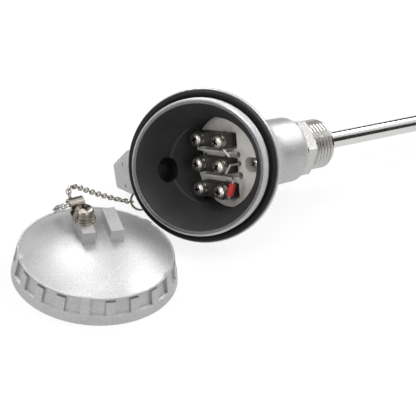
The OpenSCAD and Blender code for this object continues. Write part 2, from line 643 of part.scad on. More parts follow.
// the chain's line: from the ring to a bend behind the eye, into its seam, along it, and a loose tail
bend = on_clip([eye_l + 1.5, clip_l + 13, eye_r - 1.6]);
seam = on_clip([0.7, clip_l + 2.5, eye_r - 2.3]);
inside = on_clip([1 - eye_l / 2, clip_l, eye_r]);
tail_end = on_clip([-3.9, clip_l + 12, -7.5]);
function bez(p, t) = pow(1 - t, 3) * p[0] + 3 * pow(1 - t, 2) * t * p[1] + 3 * (1 - t) * t * t * p[2]
    + pow(t, 3) * p[3];
legs = [[ring_end, ring_end + (bend - ring_end) / 3 - [0, 0, 1.5], bend - (bend - ring_end) / 4 - [0, -1, 1],
        bend],
    [bend, bend + (bend - ring_end) * 0.29, on_clip([-0.3, clip_l + 7, eye_r + 0.4]), seam],
    [seam, on_clip([0.9, clip_l + 1.2, eye_r - 1.1]), on_clip([0.5, clip_l, eye_r]), inside],
    [inside, on_clip([-eye_l - 1, clip_l, eye_r]), on_clip([-6.5, clip_l + 5.5, 0]), tail_end]];
steps = 20;
line = concat([ring_end], [for (leg = legs, i = [1 : steps]) bez(leg, i / steps)]);
line_s = [for (i = 0, a = 0; i < len(line); i = i + 1,
    a = a + (i < len(line) ? norm(line[i] - line[i - 1]) : 0)) a];
function at(s) = [for (k = [0 : 2]) lookup(s, [for (i = [0 : len(line) - 1]) [line_s[i], line[i][k]]])];
first_p = 2 * ring_wire + ring_gap + wire_d + 0.6;
first_s = first_p - ring_wire - ring_gap / 2;
chain_l = line_s[len(line) - 1] - first_s;
links = round(chain_l / link_p);
pitch = chain_l / links;
slack = 0.08;

// a link that runs along y, with inner length p
module link(p) {
    bow = (link_w - wire_d) / 2;
    side = p + slack + 2 * wire_d - link_w;
    for (s = [0, 180]) rotate([0, 0, s]) {
        translate([0, side / 2, 0]) rotate_extrude(angle = 180, $fn = 14)
            translate([bow, 0]) circle(d = wire_d, $fn = 6);
        translate([bow, -side / 2, 0]) rotate([-90, 0, 0]) cylinder(d = wire_d, h = side, $fn = 6);
    }
}
// a link between two points of the chain's line, turned about it by roll
module placed(a, b, p, roll) {
    d = (b - a) / norm(b - a);
    translate((a + b) / 2) rotate([0, acos(d[2]), atan2(d[1], d[0])]) rotate([0, 0, roll])
        rotate([90, 0, 0]) link(p);
}
// the roll that turns a link's width toward w
function roll_to(d, w) = let(p = acos(d[2] / norm(d)), a = atan2(d[1], d[0]))
    atan2(w * [-sin(a), cos(a), 0], w * [cos(p) * cos(a), cos(p) * sin(a), -sin(p)]);
start_roll = roll_to(at(first_s) - ring_end, ring_side);
untwist = 6;
module tether_chain() color([0.6, 0.58, 0.54]) {
    placed(at(0) - (ring_wire + ring_gap / 2) * (at(first_s) - at(0)) / norm(at(first_s) - at(0)),
        at(first_s), first_p, start_roll);
    for (k = [0 : links - 1])
        placed(at(first_s + k * pitch), at(first_s + (k + 1) * pitch), pitch,
            start_roll * max(0, 1 - (k + 1) / untwist) + (k % 2 == 0 ? 90 : 0));
}

head_casting();
mouth_o_ring();
terminal_base();
terminal_bar_1();
terminal_bar_2();
terminal_bar_3();
terminal_screw_1();
terminal_screw_2();
terminal_screw_3();
terminal_screw_4();
terminal_screw_5();
terminal_screw_6();
terminal_washers();
base_screws();
bare_leads();
sleeved_lead();
wire_sleeve();
gland_screw();
gland_washer();
gland_bush();
hex_nipple();
probe_sheath();
insulator();
sensing_element();
cap_casting();
clip_strap();
clip_screw();
clip_washers();
tether_chain();
split_ring();
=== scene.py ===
"""Looks of a resistance thermometer: a probe with an open connection head, and its screw cap on a chain.

Everything is in metres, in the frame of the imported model. The CAD nodes keep their places and their meshes.
This script gives them their finishes, rounds some of their edges by modifiers, makes the process fitting
again with a helical thread, and adds the fine bead of the cap.
"""

import json
import logging
import math
from dataclasses import dataclass
from enum import Enum
from typing import Any, Optional, Sequence, Union

import bmesh
import bpy
from mathutils import Matrix, Vector


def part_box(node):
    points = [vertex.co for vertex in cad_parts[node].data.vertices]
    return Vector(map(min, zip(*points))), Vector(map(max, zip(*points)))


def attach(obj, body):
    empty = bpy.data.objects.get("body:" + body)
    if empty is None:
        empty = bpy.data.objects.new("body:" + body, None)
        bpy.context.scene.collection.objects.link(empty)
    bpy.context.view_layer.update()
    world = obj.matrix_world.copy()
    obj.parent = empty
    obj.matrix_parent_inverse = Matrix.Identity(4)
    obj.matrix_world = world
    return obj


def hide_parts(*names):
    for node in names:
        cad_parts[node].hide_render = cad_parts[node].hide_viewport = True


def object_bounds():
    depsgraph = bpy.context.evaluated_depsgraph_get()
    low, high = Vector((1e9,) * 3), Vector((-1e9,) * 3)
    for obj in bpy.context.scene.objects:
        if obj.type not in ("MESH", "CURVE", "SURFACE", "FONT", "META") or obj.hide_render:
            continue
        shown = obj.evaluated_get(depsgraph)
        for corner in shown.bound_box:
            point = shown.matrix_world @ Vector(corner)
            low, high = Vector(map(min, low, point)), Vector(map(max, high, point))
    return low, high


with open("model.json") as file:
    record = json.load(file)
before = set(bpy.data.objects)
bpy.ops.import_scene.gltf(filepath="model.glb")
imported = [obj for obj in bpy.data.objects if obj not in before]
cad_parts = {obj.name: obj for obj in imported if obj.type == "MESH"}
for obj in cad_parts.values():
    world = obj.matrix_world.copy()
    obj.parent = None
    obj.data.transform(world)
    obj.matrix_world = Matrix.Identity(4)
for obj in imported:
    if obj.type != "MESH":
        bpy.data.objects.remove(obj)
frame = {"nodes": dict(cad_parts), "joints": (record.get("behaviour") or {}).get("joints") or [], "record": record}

log = logging.getLogger("probe")
logging.basicConfig(level=logging.INFO, format="%(name)s: %(message)s")

CAD_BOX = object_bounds()
MM = 0.001
WHITE = (1.0, 1.0, 1.0, 1.0)
Colour = tuple[float, float, float]


class Finish(Enum):
    """The finishes that the pieces are given."""

    CAST = "cast paint"
    # the dark bowl is painted shade
    CAST_HEAD = "cast paint with a dark bowl"
    RUBBER = "nitrile rubber"
    MOULDING = "grey moulding"
    BAR = "dark plated bar"
    NICKEL = "bright nickel"
    WASHER = "zinc washer"
    # the dark recess is painted shade
    SCREW = "nickel-plated screw with a dark recess"
    WORN = "worn nickel"
    LEAD = "tinned wire"
    SLEEVE = "red silicone"
    TURNED = "turned steel"
    TUBE = "drawn tube"
    CERAMIC = "alumina"
    CHAIN = "worn nickel wire"


TERMINAL_BARS = tuple(f"terminal_bar_{k}" for k in range(1, 4))
TERMINAL_SCREWS = tuple(f"terminal_screw_{k}" for k in range(1, 7))

OUTFIT: dict[Finish, tuple[str, ...]] = {
    Finish.CAST_HEAD: ("head_casting",),
    Finish.CAST: ("cap_casting", "gland_screw"),
    Finish.RUBBER: ("mouth_o_ring", "gland_bush"),
    Finish.MOULDING: ("terminal_base",),
    Finish.BAR: TERMINAL_BARS,
    Finish.SCREW: TERMINAL_SCREWS,
    Finish.NICKEL: ("base_screws",),
    Finish.WORN: ("clip_screw", "clip_washers"),
    Finish.WASHER: ("terminal_washers", "gland_washer"),
    Finish.LEAD: ("bare_leads", "sleeved_lead"),
    Finish.SLEEVE: ("wire_sleeve",),
    Finish.TURNED: ("hex_nipple",),
    Finish.TUBE: ("probe_sheath",),
    Finish.CERAMIC: ("insulator", "sensing_element"),
    Finish.CHAIN: ("clip_strap", "tether_chain", "split_ring"),
}


# ---------------------------------------------------------------- shader maths


class Val:
    """A socket of a node tree that can be used in Python arithmetic."""

    def __init__(self, tree: "Tree", socket: bpy.types.NodeSocket) -> None:
        """Wraps a socket.

        Args:
            tree: the tree that the socket's node belongs to.
            socket: the output socket.
        """
        self.tree = tree
        self.socket = socket

    def _math(self, op: str, *operands: Any) -> "Val":
        """Adds one Math node.

        Args:
            op: the node's operation.
            operands: its values or links.

        Returns:
            The node's result.
        """
        return self.tree.node("ShaderNodeMath", {"operation": op}, dict(enumerate(operands)))

    def __add__(self, o: Any) -> "Val":
        """Sum."""
        return self._math("ADD", self, o)

    __radd__ = __add__

    def __sub__(self, o: Any) -> "Val":
        """Difference."""
        return self._math("SUBTRACT", self, o)

    def __rsub__(self, o: Any) -> "Val":
        """Difference, reflected."""
        return self._math("SUBTRACT", o, self)

    def __mul__(self, o: Any) -> "Val":
        """Product."""
        return self._math("MULTIPLY", self, o)

    __rmul__ = __mul__

    def __lt__(self, o: Any) -> "Val":
        """1 where less."""
        return self._math("LESS_THAN", self, o)

    def __gt__(self, o: Any) -> "Val":
        """1 where greater."""
        return self._math("GREATER_THAN", self, o)

    def most(self, o: Any) -> "Val":
        """The larger of the two."""
        return self._math("MAXIMUM", self, o)

    def root(self) -> "Val":
        """Square root."""
        return self._math("SQRT", self)

    def step(self, low: float, high: float) -> "Val":
        """Smooth step from 0 at low to 1 at high."""
        return self.tree.node(
            "ShaderNodeMapRange",
            {"interpolation_type": "SMOOTHSTEP"},
            {"Value": self, "From Min": low, "From Max": high},
        )


def rgba(value: Any) -> Any:
    """A colour with its alpha; a link or a number stays as it is."""
    return (*value, 1.0) if isinstance(value, tuple) else value


def shade(colour: Colour, factor: float) -> Colour:
    """A colour made lighter or darker, up to white."""
    return tuple(min(1.0, c * factor) for c in colour)


class Tree:
    """A node tree that is filled from Python expressions."""

    def __init__(self, tree: bpy.types.NodeTree) -> None:
        """Empties the tree.

        Args:
            tree: the tree of a material or a world.
        """
        self.nodes = tree.nodes
        self.links = tree.links
        self.nodes.clear()

    def put(
        self,
        kind: str,
        settings: Optional[dict[str, Any]] = None,
        inputs: Optional[dict[Union[int, str], Any]] = None,
    ) -> bpy.types.Node:
        """Adds a node.

        Args:
            kind: the node's type.
            settings: its properties, set first.
            inputs: values or links of its sockets, by name or number.

        Returns:
            The node.
        """
        made = self.nodes.new(kind)
        for key, value in (settings or {}).items():
            setattr(made, key, value)
        for key, value in (inputs or {}).items():
            self.plug(made.inputs[key], value)
        return made

    def node(
        self,
        kind: str,
        settings: Optional[dict[str, Any]] = None,
        inputs: Optional[dict[Union[int, str], Any]] = None,
        output: Union[int, str] = 0,
    ) -> Val:
        """Adds a node and gives one of its outputs.

        Args:
            kind: the node's type.
            settings: its properties, set first.
            inputs: values or links of its sockets, by name or number.
            output: the output that is returned.

        Returns:
            The wrapped output.
        """
        return Val(self, self.put(kind, settings, inputs).outputs[output])

    def plug(self, socket: bpy.types.NodeSocket, value: Any) -> None:
        """Links a socket to a value of the tree, or sets it to a constant."""
        if isinstance(value, Val):
            self.links.new(value.socket, socket)
        else:
            socket.default_value = value

    def rays(self, first: str, *others: str) -> Val:
        """1 for rays of any of the kinds that are named.

        Args:
            first: an output of the Light Path node.
            others: more of them.

        Returns:
            The mask.
        """
        seen = self.node("ShaderNodeLightPath", output=first)
        for kind in others:
            seen = seen.most(self.node("ShaderNodeLightPath", output=kind))
        return seen


class Shader(Tree):
    """A material under construction, with one Principled shader."""

    def __init__(self, name: str) -> None:
        """Makes a material with nothing but its shader.

        Args:
            name: the material's name.
        """
        self.material = bpy.data.materials.new(name)
        self.material.use_nodes = True
        super().__init__(self.material.node_tree)
        self.bsdf = self.put("ShaderNodeBsdfPrincipled")
        self.out = self.put("ShaderNodeOutputMaterial", inputs={"Surface": self.surface})
        self.place = self.node("ShaderNodeTexCoord", output="Object")

    @property
    def surface(self) -> Val:
        """The Principled shader's result."""
        return Val(self, self.bsdf.outputs["BSDF"])

    def feed(self, **inputs: Any) -> None:
        """Sets sockets of the Principled shader; an underscore in a name stands for a space.

        Args:
            inputs: values or links.
        """
        for key, value in inputs.items():
            self.plug(self.bsdf.inputs[key.replace("_", " ")], rgba(value))

    def noise(
        self, scale: float, detail: float = 3.0, rough: float = 0.55, place: Optional[Val] = None
    ) -> Val:
        """Noise from 0 to 1.

        Args:
            scale: cells per metre.
            detail: octaves.
            rough: weight of the finer octaves.
            place: the coordinates, or the object's own.

        Returns:
            The noise.
        """
        return self.node(
            "ShaderNodeTexNoise",
            {},
            {"Vector": place or self.place, "Scale": scale, "Detail": detail, "Roughness": rough},
        )

    def mix(self, factor: Any, a: Any, b: Any) -> Val:
        """Mixes two colours.

        Args:
            factor: 0 gives a, 1 gives b.
            a: a colour or link.
            b: a colour or link.

        Returns:
            The mixed colour.
        """
        return self.node("ShaderNodeMix", {"data_type": "RGBA"}, {0: factor, 6: rgba(a), 7: rgba(b)}, 2)

    def bump(self, height: Val, strength: float, distance: float) -> None:
        """Feeds a height to the normal.

        Args:
            height: the height, about 0 to 1.
            strength: how strongly it shows.
            distance: the height's size in metres.
        """
        inputs = {"Strength": strength, "Distance": distance, "Height": height}
        self.feed(Normal=self.node("ShaderNodeBump", {}, inputs))

    def from_axis(self, origin: Sequence[float], axis: Sequence[float]) -> tuple[Val, Val]:
        """Depth along an axis and distance from it.

        Args:
            origin: a point of the axis.
            axis: its unit vector.

        Returns:
            Depth and distance, in metres.
        """
        kind = "ShaderNodeVectorMath"
        rel = self.node(kind, {"operation": "SUBTRACT"}, {0: self.place, 1: tuple(origin)})
        depth = self.node(kind, {"operation": "DOT_PRODUCT"}, {0: rel, 1: tuple(axis)}, "Value")
        size = self.node(kind, {"operation": "LENGTH"}, {0: rel}, "Value")
        return depth, (size * size - depth * depth).most(0.0).root()


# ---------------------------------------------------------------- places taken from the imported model


def joint(name: str) -> dict[str, Any]:
    """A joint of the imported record."""
    return next(j for j in frame["joints"] if j["name"] == name)


def mount(name: str) -> dict[str, Any]:
    """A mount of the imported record."""
    return next(m for m in frame["record"]["mounts"] if m["name"] == name)


STEM = Vector(mount("process_thread")["axis"]).normalized()
ENTRY = -Vector(mount("cable_entry")["axis"]).normalized()
SIDE = ENTRY.cross(STEM).normalized()


@dataclass(frozen=True)
class Lie:
    """How the probe lies, and where its parts are along its own axes."""

    shoulder: float = 66.3 * MM
    mouth_tilt: float = 36.0
    mouth_rise: float = 4.0 * MM

    @property
    def axis(self) -> Vector:
        """The mouth's axis, into the bowl."""
        tilt = math.radians(self.mouth_tilt)
        return STEM * math.cos(tilt) - ENTRY * math.sin(tilt)

    @property
    def mouth(self) -> Vector:
        """Middle of the mouth's plane."""
        return self.at(0.0, self.mouth_rise)

    def at(self, along: float, up: float = 0.0) -> Vector:
        """A point given along the stem's axis from the head's end, and along the cable entry's axis."""
        return STEM * (along - self.shoulder) + ENTRY * up


LIE = Lie()


# ---------------------------------------------------------------- finishes


@dataclass(frozen=True)
class CastPaint:
    """Silver paint over a die casting: fine orange peel, faint cloudiness, dark specks and painted glints."""

    colour: Colour = (0.44, 0.44, 0.445)
    grain: float = 900.0
    rough: float = 0.40
    metal: float = 0.7

    def make(self, name: str) -> bpy.types.Material:
        """Builds the material under a name."""
        s = Shader(name)
        cloud = s.noise(60.0, 4.0)
        peel = s.noise(self.grain, 2.0)
        fine = s.noise(self.grain * 4, 2.0)
        grit_and_glint = s.noise(self.grain * 2.2, 2.0)
        colour = s.mix(cloud.step(0.35, 0.65), shade(self.colour, 0.95), shade(self.colour, 1.05))
        # light specks are painted glints for the paint's sparkle; the next line adds dark specks
        colour = s.mix((grit_and_glint > 0.6) * 0.55, colour, shade(self.colour, 1.35))
        colour = s.mix((grit_and_glint < 0.4) * 0.45, colour, shade(self.colour, 0.6))
        s.feed(Base_Color=colour, Roughness=self.rough + cloud * 0.1, Metallic=self.metal)
        self.hollow_shade_and_bare_lip(s, cloud, colour)
        s.bump(peel * 0.6 + fine * 0.4, 0.4, 0.08 * MM)
        return s.material

    def hollow_shade_and_bare_lip(self, s: Shader, cloud: Val, colour: Val) -> None:
        """Feeds the painted shade of hollows and the bare turned lip; plain pieces have neither."""


@dataclass(frozen=True)
class HeadPaint(CastPaint):
    """The same paint on the head, with painted shade in bowl, well and cable hole, and a lip turned bare."""

    # colours of the painted shade in the hollows; the cable hole's is darker
    bowl_shade_colour: Colour = (0.022, 0.022, 0.024)
    hole_shade_colour: Colour = (0.006, 0.006, 0.006)
    # the lip rings' colours: painted shade in the grooves, painted highlights on the ridges
    groove_shade_colour: Colour = (0.075, 0.075, 0.08)
    ridge_highlight_colour: Colour = (0.36, 0.36, 0.36)
    bowl_r: float = 29.75 * MM
    bowl_taper: float = 0.54
    well_r: float = 22.1 * MM
    well_end: float = 25.5 * MM
    hole_r: float = 6.0 * MM
    hole_along: float = 3.2 * MM
    dark_from: float = 0.3 * MM
    blur: float = 0.1 * MM
    lip_inside: float = 0.15 * MM
    lip_outside: float = 0.5 * MM

    def hollow_shade_and_bare_lip(self, s: Shader, cloud: Val, colour: Val) -> None:
        """Paints shade into the hollows and gives the lip turning rings of painted shade and painted highlight.

        Args:
            s: the shader.
            cloud: the paint's cloudiness, which the painted shade of the hollows shares.
            colour: the paint's colour.
        """
        depth, off_mouth = s.from_axis(LIE.mouth, LIE.axis)
        along, off_stem = s.from_axis(LIE.at(0.0), STEM)
        _, off_entry = s.from_axis(LIE.at(self.hole_along), ENTRY)
        deep = depth > self.dark_from
        # painted shade: masks of the bowl, the well behind it and the cable hole, which get darkened
        bowl = (self.bowl_r - depth * self.bowl_taper - off_mouth).step(-self.blur, self.blur) * deep
        well = (self.well_r - off_stem).step(-self.blur, self.blur) * (along < self.well_end) * deep
        hole = (self.hole_r - off_entry).step(-self.blur, self.blur) * deep
        hollow_shade_mask = bowl.most(well).most(hole)
        lip = (depth < self.lip_inside) * (depth > -self.lip_outside)
        rings = s.node("ShaderNodeCombineXYZ", {}, {0: off_mouth * 12.0, 1: 0.0, 2: 0.0})
        turned = s.noise(900.0, 2.0, 0.5, rings).step(0.46, 0.62)
        # the lip's turning rings: painted shade in the grooves and painted highlights on the ridges
        colour = s.mix(lip, colour, s.mix(turned, self.groove_shade_colour, self.ridge_highlight_colour))
        # painted shade of the hollows, a little cloudy; the cable hole gets a darker painted shade
        hollow_shade_colour = s.mix(cloud.step(0.3, 0.7), self.bowl_shade_colour, shade(self.bowl_shade_colour, 1.5))
        s.feed(
            Base_Color=s.mix(hollow_shade_mask, colour, s.mix(hole, hollow_shade_colour, self.hole_shade_colour)),
            Roughness=self.rough + cloud * 0.1 + hollow_shade_mask * 0.12,
            Metallic=self.metal - hollow_shade_mask * 0.6,
        )


@dataclass(frozen=True)
class Recess:
    """The cross recess of one screw's head, as a zone between the head's underside and its crown."""

    seat: Vector
    axis: Vector
    head_r: float
    height: float
    reach: float = 0.64
    floor: float = 0.15
    brim: float = 0.9

    def mask(self, s: Shader) -> Val:
        """1 on the recess's walls and floor."""
        depth, off = s.from_axis(self.seat, self.axis)
        low, high = self.height * self.floor, self.height * self.brim
        return (off < self.head_r * self.reach) * (depth > low) * (depth < high)


@dataclass(frozen=True)
class Metal:
    """Bare or plated metal with fine scratches and a little dullness."""

    colour: Colour
    rough: float = 0.25
    dirt: Colour = (0.20, 0.17, 0.14)
    dirt_amount: float = 0.25
    scale: float = 500.0
    bump: float = 0.15
    recess_shade_colour: Colour = (0.012, 0.011, 0.010)

    def make(
        self,
        name: str,
        lathe: Optional[tuple[Vector, Vector]] = None,
        recesses: Sequence[Recess] = (),
    ) -> bpy.types.Material:
        """Builds the material.

        Args:
            name: its name.
            lathe: a point and an axis that turning marks run round, if any.
            recesses: the screw recesses, which get painted shade inside.

        Returns:
            The material.
        """
        s = Shader(name)
        spots = s.noise(self.scale, 5.0, 0.6)
        wide = s.noise(self.scale * 0.2, 3.0)
        grime = spots.step(0.52, 0.75) * self.dirt_amount
        colour = s.mix(grime, self.colour, self.dirt)
        colour = s.mix(wide.step(0.3, 0.7) * 0.2, colour, shade(self.colour, 1.15))
        rough = self.rough + spots * 0.12 + grime * 0.3
        for recess in recesses:
            inside = recess.mask(s)
            # painted shade inside the screw's cross recess
            colour = s.mix(inside, colour, self.recess_shade_colour)
            rough = rough + inside * 0.3
        s.feed(Base_Color=colour, Roughness=rough, Metallic=1.0)
        if lathe:
            depth, _ = s.from_axis(*lathe)
            rings = s.node("ShaderNodeCombineXYZ", {}, {0: depth * 60.0, 1: 0.0, 2: wide * 0.05})
            s.bump(s.noise(150.0, 4.0, 0.7, rings) * 0.8 + spots * 0.2, self.bump, 0.05 * MM)
        else:
            s.bump(spots, self.bump, 0.04 * MM)
        return s.material


@dataclass(frozen=True)
class Matter:
    """Rubber, plastic or ceramic: one body colour, slightly uneven."""

    colour: Colour
    rough: float = 0.5
    gloss: float = 0.5
    spread: float = 0.12
    scale: float = 400.0
    bump: float = 0.12

    def make(self, name: str) -> bpy.types.Material:
        """Builds the material under a name."""
        s = Shader(name)
        cloud = s.noise(self.scale * 0.25, 3.0)
        fine = s.noise(self.scale * 3.0, 2.0)
        low, high = shade(self.colour, 1 - self.spread), shade(self.colour, 1 + self.spread)
        s.feed(
            Base_Color=s.mix(cloud.step(0.3, 0.7), low, high),
            Roughness=self.rough + fine * 0.12,
            Specular_IOR_Level=self.gloss,
        )
        s.bump(fine, self.bump, 0.03 * MM)
        return s.material


def terminal_recess(screw: str, head_r: float = 3.25 * MM, height: float = 2.4 * MM) -> Recess:
    """Finds the recess of a terminal screw from its joint and its mesh.

    Args:
        screw: the screw's node.
        head_r: the head's radius.
        height: the head's height.

    Returns:
        The recess, in the frame's own coordinates.
    """
    turn = joint(f"{screw}_turn")
    axis = Vector(turn["axis"]).normalized()
    base = Vector(turn["pos_m"])
    part = frame["nodes"][screw]
    crown = max((part.matrix_world @ v.co - base).dot(axis) for v in part.data.vertices)
    return Recess(base + axis * (crown - height), axis, head_r, height)


def finishes() -> dict[Finish, bpy.types.Material]:
    """All materials of the object, by finish."""
    lathe = (LIE.at(0.0), STEM)
    recesses = [terminal_recess(screw) for screw in TERMINAL_SCREWS]
    tarnish = (0.07, 0.055, 0.045)
    screw = Metal((0.52, 0.50, 0.46), rough=0.3, dirt=tarnish, dirt_amount=0.35)
    nickel = Metal((0.50, 0.475, 0.44), rough=0.13, dirt=(0.06, 0.05, 0.045), dirt_amount=0.7, scale=900.0)
    washer = Metal((0.42, 0.40, 0.37), rough=0.17, dirt=(0.07, 0.06, 0.05), dirt_amount=0.6)
    worn = Metal((0.30, 0.27, 0.235), rough=0.26, dirt=tarnish, dirt_amount=0.6)
    chain = Metal((0.36, 0.335, 0.30), rough=0.18, dirt=(0.08, 0.07, 0.06), dirt_amount=0.6)
    turned = Metal((0.50, 0.49, 0.475), rough=0.17, dirt_amount=0.15, bump=0.02)
    tube = Metal((0.62, 0.61, 0.60), rough=0.08, dirt_amount=0.03, bump=0.01)
    return {
        Finish.CAST: CastPaint().make("cast_paint"),
        Finish.CAST_HEAD: HeadPaint().make("cast_paint_head"),
        Finish.RUBBER: Matter((0.006, 0.006, 0.0065), rough=0.35, gloss=0.2).make("nitrile_rubber"),
        Finish.MOULDING: Matter((0.62, 0.60, 0.57)).make("grey_moulding"),
        Finish.BAR: Metal((0.10, 0.095, 0.09), rough=0.4).make("dark_bar"),
        Finish.SCREW: screw.make("terminal_screw", recesses=recesses),
        Finish.NICKEL: nickel.make("bright_nickel"),
        Finish.WASHER: washer.make("zinc_washer"),
        Finish.WORN: worn.make("worn_nickel"),
        Finish.LEAD: Metal((0.46, 0.46, 0.45), rough=0.33, dirt_amount=0.2).make("tinned_wire"),
        Finish.SLEEVE: Matter((0.62, 0.035, 0.03), rough=0.4).make("red_silicone"),
        Finish.TURNED: turned.make("turned_steel", lathe),
        Finish.TUBE: tube.make("drawn_tube", lathe),
        Finish.CERAMIC: Matter((0.82, 0.80, 0.74)).make("alumina"),
        Finish.CHAIN: chain.make("worn_nickel_wire"),
    }


# ---------------------------------------------------------------- objects


def add_object(name: str, data: Any) -> bpy.types.Object:
    """Puts a new object with this data in the scene."""
    made = bpy.data.objects.new(name, data)
    bpy.context.scene.collection.objects.link(made)
    return made


def add_mesh(
    name: str, bm: bmesh.types.BMesh, material: bpy.types.Material, smooth: bool = False
) -> bpy.types.Object:
    """Turns a finished bmesh into an object and frees it.

    Args:
        name: the object's name.
        bm: the mesh under construction.
        material: its finish.
        smooth: whether its faces are shaded smooth.

    Returns:
        The object, at the origin.
    """
    mesh = bpy.data.meshes.new(name)
    bm.to_mesh(mesh)
    bm.free()
    for poly in mesh.polygons:
        poly.use_smooth = smooth
    mesh.materials.append(material)
    return add_object(name, mesh)


def add_square(name: str, half: float, material: bpy.types.Material) -> bpy.types.Object:
    """Adds a flat square with this half side."""
    bm = bmesh.new()
    bmesh.ops.create_grid(bm, x_segments=1, y_segments=1, size=half)
    return add_mesh(name, bm, material)


# ---------------------------------------------------------------- stage


def toward(azimuth: float, elevation: float) -> Vector:
    """The unit vector of an azimuth, from +X toward +Y, and an elevation, in degrees."""
    a, e = math.radians(azimuth), math.radians(elevation)
    return Vector((math.cos(a) * math.cos(e), math.sin(a) * math.cos(e), math.sin(e)))


@dataclass(frozen=True)
class Card:
    """A dark card that faces the object, for the metal to mirror; the camera doesn't see it."""

    name: str
    turn: float
    rise: float
    away: float
    half: float
    tone: float


@dataclass(frozen=True)
class Lamp:
    """A square area lamp, placed from the point that the camera aims at."""

    name: str
    offset: tuple[float, float, float]
    size: float
    power: float


CARDS = (
    Card("card_near", 180.0, 38.0, 1.25, 0.5, 0.03),
    Card("card_far", 0.0, 24.0, 0.85, 0.5, 0.06),
    Card("card_left", 95.0, 14.0, 0.8, 0.3, 0.05),
    Card("card_right", -98.38, 15.0, 0.75, 0.34, 0.02),
)
LAMPS = (
    Lamp("key_left", (0.04, 0.48, 0.70), 0.32, 2.2),
    Lamp("key_right", (0.65, 0.22, 0.50), 0.34, 2.8),
    Lamp("top", (-0.15, 0.0, 0.8), 0.5, 2.0),
    Lamp("neck", (0.45, -0.26, 0.62), 0.25, 2.6),
    Lamp("fill", (-0.1, -0.95, 0.55), 0.5, 2.4),
    Lamp("side", (-0.8, 0.1, 0.35), 0.3, 2.0),
)


@dataclass(frozen=True)
class Stage:
    """White floor, plain light, dark cards and the camera."""

    floor_z: float
    lens: float = 173.08
    distance: float = 918.66 * MM
    azimuth: float = 48.38
    elevation: float = 34.19
    roll: float = 6.08
    ambient: float = 0.35
    floor_glow: float = 0.86
    floor_half: float = 3.0
    floor_gap: float = 0.02 * MM
    aim_at: tuple[float, float, float] = (-63.28 * MM, -11.28 * MM, -6.37 * MM)

    @property
    def aim(self) -> Vector:
        """The point that the camera aims at."""
        return Vector(self.aim_at)

    def camera(self) -> None:
        """Adds the camera, which looks down along its azimuth."""
        look = toward(self.azimuth, -self.elevation)
        turn = look.to_track_quat("-Z", "Y").to_matrix() @ Matrix.Rotation(math.radians(self.roll), 3, "Z")
        data = bpy.data.cameras.new("camera")
        data.sensor_width = 36.0
        data.lens = self.lens
        data.clip_start, data.clip_end = 0.01, 20.0
        camera = add_object("camera", data)
        camera.matrix_world = Matrix.Translation(self.aim - look * self.distance) @ turn.to_4x4()
        bpy.context.scene.camera = camera

    def floor(self) -> None:
        """Adds a floor that looks white and keeps the object's shadow."""
        s = Shader("floor")
        s.feed(Base_Color=(0.9, 0.9, 0.9), Roughness=0.9)
        seen = s.rays("Is Camera Ray", "Is Glossy Ray", "Is Transmission Ray")
        glow = s.node("ShaderNodeEmission", {}, {0: WHITE, 1: 1.0})
        both = s.node("ShaderNodeMixShader", {}, {0: seen * self.floor_glow, 1: s.surface, 2: glow})
        s.plug(s.out.inputs["Surface"], both)
        floor = add_square("floor", self.floor_half, s.material)
        floor.location = (0, 0, self.floor_z - self.floor_gap)

    def world(self) -> None:
        """Adds the surroundings: an even grey light, white where it is seen."""
        world = bpy.data.worlds.new("world")
        bpy.context.scene.world = world
        world.use_nodes = True
        tree = Tree(world.node_tree)
        seen = tree.rays("Is Camera Ray", "Is Transmission Ray", "Is Glossy Ray")
        light = tree.node("ShaderNodeBackground", {}, {0: WHITE, 1: self.ambient})
        white = tree.node("ShaderNodeBackground", {}, {0: WHITE, 1: 1.0})
        both = tree.node("ShaderNodeMixShader", {}, {0: seen, 1: light, 2: white})
        tree.put("ShaderNodeOutputWorld", {}, {"Surface": both})

    def card(self, card: Card) -> None:
        """Adds a card; its turn is measured from the camera's azimuth."""
        s = Shader(card.name)
        s.feed(Base_Color=(card.tone, card.tone, card.tone), Roughness=1.0)
        made = add_square(card.name, card.half, s.material)
        way = toward(self.azimuth + card.turn, card.rise)
        facing = (-way).to_track_quat("Z", "Y").to_matrix().to_4x4()
        made.matrix_world = Matrix.Translation(self.aim + way * card.away) @ facing
        made.visible_camera = False

    def lamp(self, lamp: Lamp) -> None:
        """Adds a lamp that looks at the aim."""
        data = bpy.data.lights.new(lamp.name, "AREA")
        data.shape = "SQUARE"
        data.size = lamp.size
        data.energy = lamp.power
        offset = Vector(lamp.offset)
        facing = (-offset).to_track_quat("-Z", "Y").to_matrix().to_4x4()
        add_object(lamp.name, data).matrix_world = Matrix.Translation(self.aim + offset) @ facing

    def build(self) -> None:
        """Builds the whole stage."""
        self.camera()
        self.floor()
        self.world()
        for card in CARDS:
            self.card(card)
        for lamp in LAMPS:
            self.lamp(lamp)
        bpy.context.scene.view_settings.view_transform = "Standard"
        log.info("stage with %d cards and %d lamps", len(CARDS), len(LAMPS))


# ---------------------------------------------------------------- dressing


@dataclass(frozen=True)
class Dresser:
    """Gives the CAD nodes their finishes."""

    stock: dict[Finish, bpy.types.Material]

    def dress(self, finish: Finish, nodes: Sequence[str]) -> None:
        """Gives CAD nodes a finish.

        Args:
            finish: the finish.
            nodes: the nodes' names.
        """
        for name in nodes:
            data = frame["nodes"][name].data
            data.materials.clear()
            data.materials.append(self.stock[finish])
            for poly in data.polygons:
                poly.material_index = 0
        log.info("%s on %s", finish.value, ", ".join(nodes))


